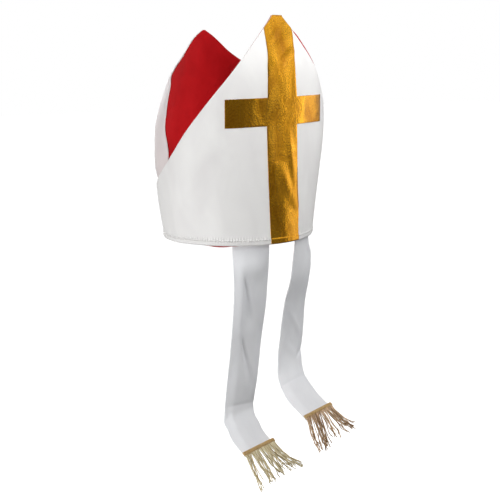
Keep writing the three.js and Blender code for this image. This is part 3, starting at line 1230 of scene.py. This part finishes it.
@dataclass
class Lappet:
    """A hanging satin band with its fringe."""

    side: str
    rim_angle: float
    way: tuple[Way, ...]
    fall: tuple[float, float, float]
    cord: TwistedCord
    seed: int
    flat: tuple[float, float]
    locks: tuple[Lock, ...]
    slant: float
    creases: tuple[Crease, ...] = ()
    dents: tuple[Dent, ...] = ()
    width: float = 46.0
    wall: float = 1.8
    tuck: float = 14.0
    rim_crown: float = 3.0
    fold_from: float = 0.5
    fold_ease: float = 0.06
    slant_run: float = 40.0
    cells_along: int = 150
    cells_across: int = 48
    header_width: float = 52.0
    header_height: float = 4.8
    header_thickness: float = 1.9
    header_overhang: float = 0.8
    header_edge: float = 0.72
    header_rows: int = 13
    header_columns: int = 61
    gimp_rows: tuple[tuple[str, float, float], ...] = (("lower", 0.3, 0.75), ("upper", 0.7, -0.75))
    gimp_inset: float = 0.8
    gimp_rise: float = 0.96
    gimp_width: float = 1.15
    gimp_length: float = 3.4
    cord_radius: float = 0.78
    cord_flatness: float = 0.62
    cord_pitch: float = 4.0
    cord_step: float = 0.8
    wander: float = 5.0
    wander_length: float = 13.0
    cord_points: int = 26
    cord_bends: tuple[Bend, ...] = (Bend(0.33, 0.2, 0.25, 0.6), Bend(0.7, 0.65, 0.3, 1), Bend(1, 1, 0, 1.2))
    stray: float = 1.8
    uneven: tuple[float, float] = (0.8, 1.04)
    sway_turns: tuple[float, float] = (1.0, 1.8)
    sway: tuple[float, float] = (0.5, 2.2)
    end: list[Array] = field(default_factory=list)

    def stops(self) -> list[Way]:
        """Gives the lappet's way from its tucked top, inside the rim, to its free end."""
        depth = FORM.panel_wall + FORM.lining_wall + RIM_GAPS * FORM.gap + self.wall / 2
        rows = []
        for z in (self.tuck, 0.0):
            middle = FORM.point(np.array(z), np.array(self.rim_angle), np.array(-depth))
            inside = FORM.point(np.array(z), np.array(self.rim_angle), np.array(-depth - 1))
            away = middle - inside
            turn = math.degrees(math.atan2(away[0], -away[1]))
            rows.append(Way(middle[0], middle[1], z, turn, self.rim_crown, 0))
        return [*rows, *self.way]

    def curve(self, s: Array) -> Array:
        """Reads a smooth centripetal curve through the middles of the stops.

        Args:
            s: Places from 0 at the top to 1 at the end.

        Returns:
            Points of the curve.
        """
        p = np.array([stop[:3] for stop in self.stops()])
        p = np.concatenate([2 * p[:1] - p[1:2], p, 2 * p[-1:] - p[-2:-1]])
        count = len(p) - 3
        place = np.clip(s, 0, 1) * count
        i = np.minimum(place.astype(int), count - 1)
        t = (place - i)[:, None]
        p0, p1, p2, p3 = p[i], p[i + 1], p[i + 2], p[i + 3]

        def knot(a: Array, b: Array) -> Array:
            """Spacing of two knots."""
            return np.sqrt(np.linalg.norm(b - a, axis=1, keepdims=True))

        d0, d1, d2 = knot(p0, p1), knot(p1, p2), knot(p2, p3)
        m1 = ((p1 - p0) / d0 - (p2 - p0) / (d0 + d1) + (p2 - p1) / d1) * d1
        m2 = ((p2 - p1) / d1 - (p3 - p1) / (d1 + d2) + (p3 - p2) / d2) * d1
        cubic = 2 * p1 - 2 * p2 + m1 + m2
        square = -3 * p1 + 3 * p2 - 2 * m1 - m2
        return p1 + m1 * t + square * t**2 + cubic * t**3

    def sections(self, count: int) -> list[Array]:
        """Gives the lappet's frames from top to end.

        Args:
            count: Number of cells along it.

        Returns:
            Arrays of middles, ways down, ways across, ways out, crowns and folds.
        """
        s = np.linspace(0, 1, count + 1)
        rows = self.stops()
        place = s * (len(rows) - 1)
        i = np.minimum(place.astype(int), len(rows) - 2)
        t = smooth(place - i, 0, 1)

        def column(name: str) -> Array:
            """Reads a column of the stops."""
            values = np.array([getattr(row, name) for row in rows])
            return values[i] + (values[i + 1] - values[i]) * t

        middle = self.curve(s)
        along = unit(self.curve(s + NUDGE) - self.curve(s - NUDGE))
        turn = np.radians(column("turn"))
        width = np.stack([np.cos(turn), np.sin(turn), np.zeros_like(turn)], -1)
        return [middle, along, width, unit(np.cross(along, width)), column("crown"), column("fold")]

    def build_band(self) -> Thing:
        """Builds the doubled satin band with its folded edge and creases.

        Returns:
            The band.
        """
        middle, along, width, face, crown, fold = self.sections(self.cells_along)
        self.end = [middle[-1], along[-1], width[-1], face[-1]]
        s = np.linspace(-1, 1, self.cells_across + 1)[None, :]
        run = np.concatenate([[0], np.cumsum(np.linalg.norm(np.diff(middle, axis=0), axis=1))])[:, None]
        down = run - self.tuck
        across = s * self.width / 2
        turned = smooth(-s, self.fold_from - self.fold_ease, 1 + self.fold_ease) * (1 - self.fold_from) * 2
        back = crown[:, None] * s**2 + fold[:, None] * turned
        relief = crease_depth(self.creases, down, across) + dent_depth(self.dents, down, across) - back
        slant = -self.slant * s * smooth(run, run[-1] - self.slant_run, run[-1])

        def layer(lift: float) -> Array:
            """Points of the band's surface at a lift from its middle."""
            flat = middle[:, None] + width[:, None] * across[..., None] + along[:, None] * slant[..., None]
            return (flat + face[:, None] * (lift + relief)[..., None])[::-1]

        place = np.stack(np.broadcast_arrays(across, -down), -1)[::-1]
        band = make_shell(f"lappet_{self.side}_satin", layer(self.wall / 2), layer(-self.wall / 2), place)
        band.data.materials.append(SATIN.material())
        return band

    def at(self, across: Array, along: Array, lift: Array) -> Array:
        """Gives points in the frame of the band's free end."""
        middle, down, width, face = self.end
        parts = np.broadcast_arrays(across, along - self.slant * across / (self.width / 2), lift)
        return middle + parts[0][..., None] * width + parts[1][..., None] * down + parts[2][..., None] * face

    def build_header(self) -> list[Thing]:
        """Builds the fringe's header: a padded braid with two rows of slanting gimp.

        Returns:
            The braid and its gimp.
        """
        under = self.wall / 2 + FORM.gap
        rows, wide = np.linspace(0, 1, self.header_rows), np.linspace(-1, 1, self.header_columns)
        along = (self.header_overhang - self.header_height * rows)[:, None]
        across = (wide * self.header_width / 2)[None, :]
        crown = self.header_edge + (1 - self.header_edge) * np.sin(np.pi * rows)[:, None] ** 0.5
        outer = self.at(across, along, under + self.header_thickness * crown)
        inner = self.at(across, along, np.array(under))
        flat = np.stack(np.broadcast_arrays(across, -along), -1)
        braid = make_shell(f"fringe_{self.side}_header", outer, inner, flat)
        braid.data.materials.append(BRAID_CORD.material())
        pieces = [braid]
        places = wide * (self.header_width / 2 - self.gimp_inset)
        for label, row, slant in self.gimp_rows:
            level = self.header_overhang - self.header_height * row
            line = self.at(places, level, under + self.header_thickness * self.gimp_rise)
            values = {
                "Pitch": self.gimp_width * MM,
                "Length": self.gimp_length * MM,
                "Width": self.gimp_width * MM,
                "Slant": math.pi / 2 + slant,
                "Face": tuple(self.end[3]),
                "Thread": BRAID_CORD.material(),
            }
            pieces.append(grow(f"fringe_{self.side}_gimp_{label}", [line], STITCHES, values))
        return pieces

    def cord_lines(self) -> list[Array]:
        """Gives the guide line of each cord: cords leave the header evenly and gather into uneven locks.

        Returns:
            Points of each line.
        """
        random = np.random.default_rng(self.seed)
        _, ahead, width, face = self.end
        down = unit(np.array(self.fall, float))
        under = self.wall / 2 + FORM.gap + self.header_thickness / 2
        t = np.linspace(0, 1, self.cord_points)[:, None]
        weights = ((1 - t) ** 3, 3 * t * (1 - t) ** 2, 3 * t**2 * (1 - t), t**3)
        lines = []
        for lock in self.locks:
            for k in range(lock.cords):
                share = (k + 0.5) / lock.cords
                start = lock.root_from + (lock.root_to - lock.root_from) * share
                goal = lock.tip_from + (lock.tip_to - lock.tip_from) * share
                aside = (goal + random.normal(0, self.stray) - start) * width
                length = lock.fall * random.uniform(*self.uneven)
                depth = random.normal(0, self.stray) * face
                root = self.at(np.array(start), np.array(self.header_overhang / 3), np.array(under))
                stops = [root]
                for bend, way in zip(self.cord_bends, (ahead, down, down)):
                    sway = (bend.sway + bend.early * lock.early) * aside
                    stops.append(root + bend.fall * length * way + sway + bend.depth * depth)
                line = sum(weight * stop for weight, stop in zip(weights, stops))
                wave = np.sin(2 * np.pi * (t * random.uniform(*self.sway_turns) + random.random())) * t
                lines.append(line + random.uniform(*self.sway) * wave * width)
        return lines

    def build_cords(self) -> Thing:
        """Builds the fringe's twisted cords.

        Returns:
            The cords as one piece.
        """
        values = {
            "Radius": self.cord_radius * MM,
            "Flatness": self.cord_flatness,
            "Twist pitch": self.cord_pitch * MM,
            "Step": self.cord_step * MM,
            "Wander": self.wander * MM,
            "Wander length": self.wander_length * MM,
            "Seed": float(self.seed),
            "Cord": self.cord.material(),
        }
        return grow(f"fringe_{self.side}_cords", self.cord_lines(), CORDS, values)

    def dress(self) -> None:
        """Builds the lappet and its fringe and fixes them."""
        band = self.build_band()
        header = self.build_header()
        cords = self.build_cords()
        finish_piece(band, "lappet_" + self.side)
        finish_piece(cords, "fringe_" + self.side)
        for piece in header:
            finish_piece(piece)


class Softbox(NamedTuple):
    """A square light.

    It stands so many degrees round from the cross's side and up, and metres away. Its side is in metres, and
    it looks at a height in metres. The foil may mirror it.
    """

    name: str
    turn: float
    rise: float
    distance: float
    side: float
    watts: float
    aim: float = 0.05
    mirrored: bool = True


@dataclass
class Studio:
    """Camera, floor and soft lights."""

    turn: float = 34.03
    distance: float = 1088.1
    height: float = 196.1
    yaw: float = 0.56
    pitch: float = 11.5
    roll: float = -1.21
    focal_pixels: float = 803.4
    sensor: float = 36.0
    floor_height: float = -0.75
    floor_half: float = 30.0
    room: float = 0.16
    backdrop: float = 0.2
    horizon: tuple[float, float] = (0.1, 0.5)
    softboxes: tuple[Softbox, ...] = (
        Softbox("left low softbox", -78, -20, 0.65, 0.5, 1.3),
        Softbox("left softbox", -90, -4, 0.9, 0.6, 2.9),
        Softbox("top softbox", 0, 50, 0.6, 0.5, 2.05, mirrored=False),
        Softbox("crown softbox", 5, 50, 0.6, 0.4, 0.35),
        Softbox("right softbox", 60, -3, 1.05, 0.62, 1.5),
        Softbox("high right softbox", 75, 25, 0.95, 0.8, 1.3),
        Softbox("glint softbox", 38, 24, 1.0, 0.4, 0.5),
        Softbox("middle softbox", 18, 2, 0.55, 0.22, 0.1, 0.17),
        Softbox("back softbox", 168, 15, 1.2, 0.8, 7.0),
        Softbox("inner fill", 75, 20, 0.05, 0.06, 0.14, 0.11),
    )

    def place_camera(self) -> None:
        """Sets the camera at the photograph's view."""
        turn, azimuth = math.radians(self.turn), math.radians(self.turn + self.yaw)
        pitch, roll = math.radians(self.pitch), math.radians(self.roll)
        spot = Vector((-self.distance * math.sin(turn), -self.distance * math.cos(turn), self.height)) * MM
        flat = Vector((math.sin(azimuth), math.cos(azimuth), 0))
        ahead = flat * math.cos(pitch) - Vector((0, 0, math.sin(pitch)))
        level = Vector((math.cos(azimuth), -math.sin(azimuth), 0))
        above = level.cross(ahead)
        right = level * math.cos(roll) + above * math.sin(roll)
        up = above * math.cos(roll) - level * math.sin(roll)
        data = bpy.data.cameras.new("camera")
        data.sensor_width = self.sensor
        data.lens = self.focal_pixels / IMAGE_SIDE * self.sensor
        camera = bpy.data.objects.new("camera", data)
        bpy.context.scene.collection.objects.link(camera)
        camera.matrix_world = Matrix.Translation(spot) @ Matrix((right, up, -ahead)).transposed().to_4x4()
        bpy.context.scene.camera = camera

    def lay_floor(self) -> None:
        """Lays a large pale floor."""
        half = self.floor_half / MM
        corners = np.array([[-half, -half, 0], [half, -half, 0], [half, half, 0], [-half, half, 0]])
        floor = make_object("floor", corners + [0, 0, self.floor_height / MM], [(0, 1, 2, 3)])
        finish = Finish("white acrylic sheet")
        shader = finish.shader.inputs
        shader["Base Color"].default_value = linear("#FAFAFA")
        shader["Roughness"].default_value = 0.9
        shader["Emission Color"].default_value = linear("#FFFFFF")
        shader["Emission Strength"].default_value = 1.0
        floor.data.materials.append(finish.material)
        floor.visible_diffuse = False
        floor.visible_glossy = False

    def light(self, box: Softbox) -> None:
        """Hangs a square softbox that looks at the hat.

        Args:
            box: Place, size and power of the softbox.
        """
        turn, rise = math.radians(box.turn), math.radians(box.rise)
        away = Vector((math.sin(turn) * math.cos(rise), -math.cos(turn) * math.cos(rise), math.sin(rise)))
        data = bpy.data.lights.new(box.name, "AREA")
        data.size = box.side
        data.energy = box.watts
        lamp = bpy.data.objects.new(box.name, data)
        lamp.location = away * box.distance + Vector((0, 0, box.aim))
        lamp.rotation_euler = (-away).to_track_quat("-Z", "Y").to_euler()
        lamp.visible_camera = False
        lamp.visible_glossy = box.mirrored
        bpy.context.scene.collection.objects.link(lamp)

    def set_up(self) -> None:
        """Makes the camera, the floor, the world and the lights."""
        scene = bpy.context.scene
        scene.view_settings.view_transform = "Standard"
        self.place_camera()
        self.lay_floor()
        world = bpy.data.worlds.new("white studio")
        scene.world = world
        world.use_nodes = True
        tree = world.node_tree
        seen = out(tree, "ShaderNodeTexCoord", None, "Generated")
        low, high = self.horizon
        ends = {"From Min": low, "From Max": high, "To Min": self.room, "To Max": self.backdrop}
        ahead = out(tree, "ShaderNodeSeparateXYZ", {0: seen}, "Y")
        back = out(tree, "ShaderNodeMapRange", {"Value": ahead} | ends)
        camera = out(tree, "ShaderNodeLightPath", None, "Is Camera Ray")
        strength = out(tree, "ShaderNodeMix", {0: camera, 2: back, 3: 1.0})
        tree.links.new(strength, tree.nodes["Background"].inputs["Strength"])
        tree.nodes["Background"].inputs["Color"].default_value = linear("#FFFFFF")
        for box in self.softboxes:
            self.light(box)


STITCHES = stitch_tree()
CORDS = cord_tree()

CROSS_PANEL = Panel(
    name="cross_panel",
    outline=FORM.cross_outline,
    centre=0,
    tucked=False,
    cloth_flat=(0.44, 0.28),
    cloth_area=0.0745,
    lining_area=0.073,
    dips=(Crease(0, -55, 0, -37, 5, 2.3),),
    roll=6.5,
)
PLAIN_PANEL = Panel(
    name="plain_panel",
    outline=FORM.plain_outline,
    centre=180,
    tucked=True,
    cloth_flat=(0.345, 0.275),
    cloth_area=0.069,
    lining_area=0.068,
    creases=(
        Crease(158, -100, 166, -134, 3, 0.9),
        Crease(176, -128, 178, -152, 3, 0.8),
        Crease(152, -136, 132, -108, 4, 1.2),
    ),
)
LEFT_LAPPET = Lappet(
    side="left",
    rim_angle=-25,
    way=(
        Way(-38, -75, -67, -6, 1.5, 2),
        Way(-42, -67, -139, 2.5, 0.5, 3),
        Way(-48, -67.5, -182, 3, 1, 4),
        Way(-55, -68, -222, 4, 2, 1.5),
        Way(-59, -73.5, -231.5, 0, 1, 2.5),
        Way(-59, -81.5, -238.5, -0.5, 1, 2.5),
        Way(-59.5, -92.5, -248, 0, 1, 3),
        Way(-57, -113, -261, -0.5, 0.5, 2.5),
    ),
    fall=(4, -45, -27),
    cord=LIT_GOLD_CORD,
    seed=7,
    flat=(0.046, 0.3),
    locks=(
        Lock(-25.5, -16, -36, -26, 52, 0.6, 7),
        Lock(-16, -3, -19, -9, 50, 0.3, 14),
        Lock(-3, 10, 0, 10, 46, 0.0, 15),
        Lock(10, 25.5, 21, 41, 47, -0.9, 18),
    ),
    slant=3.2,
    dents=(Dent(38, -12.5, 84, 0.36, -0.01, 2.4), Dent(118, -13, 92, 0.22, 0.22, 2.2)),
    creases=(
        Crease(28, -15, 118, -15, 6, 1.8),
        Crease(12, -15, 28, 2, 5, 0.8),
        Crease(20, 23, 44, 19, 5, -1.4),
        Crease(32, -24, 32, 24, 13, 3.0),
        Crease(216, -24, 221, 23, 2.2, -1.3),
        Crease(222, -14, 246, -10, 4, 0.7),
    ),
)
RIGHT_LAPPET = Lappet(
    side="right",
    rim_angle=27,
    way=(
        Way(45, -76, -49, 19.5, 2, 0),
        Way(42, -66, -91, 15.5, 2, 0),
        Way(38, -62.4, -134, 11.5, 1.5, 0),
        Way(32, -66, -167, 10.5, 2.5, 0),
        Way(25, -78, -190, 8.5, 2, 1.4),
        Way(21.5, -102.5, -208, 3, 1, 3),
        Way(22, -137, -223.5, 4.5, 0.5, 2.5),
    ),
    fall=(1, -42, -28),
    cord=SHADED_GOLD_CORD,
    seed=19,
    flat=(0.046, 0.279),
    locks=(
        Lock(-25.5, -17, -41, -33, 48, 1.0, 7),
        Lock(-17, 0, -30, -17, 51, 0.4, 18),
        Lock(0, 10, -6, 7, 45, 0.2, 9),
        Lock(10, 25.5, 18, 40, 42, -0.9, 19),
    ),
    slant=2.6,
    creases=(
        Crease(8, 12, 30, 24, 4, 1.8),
        Crease(18, 10, 60, 20, 5, -1.0),
        Crease(104, -12, 146, 19, 4.5, 1.4),
        Crease(150, -12, 176, 12, 5, 1.0),
        Crease(164, 24, 172, 14, 3.5, -2.4),
        Crease(206, -24, 201, 24, 2.4, -1.2),
    ),
)


def main() -> None:
    """Builds the studio and every piece of the hat in order."""
    logging.basicConfig(level=logging.INFO, format="%(message)s")
    Studio().set_up()
    CROSS_PANEL.dress()
    PLAIN_PANEL.dress()
    FoilCross().dress()
    LEFT_LAPPET.dress()
    RIGHT_LAPPET.dress()


if __name__ == "__main__":
    main()
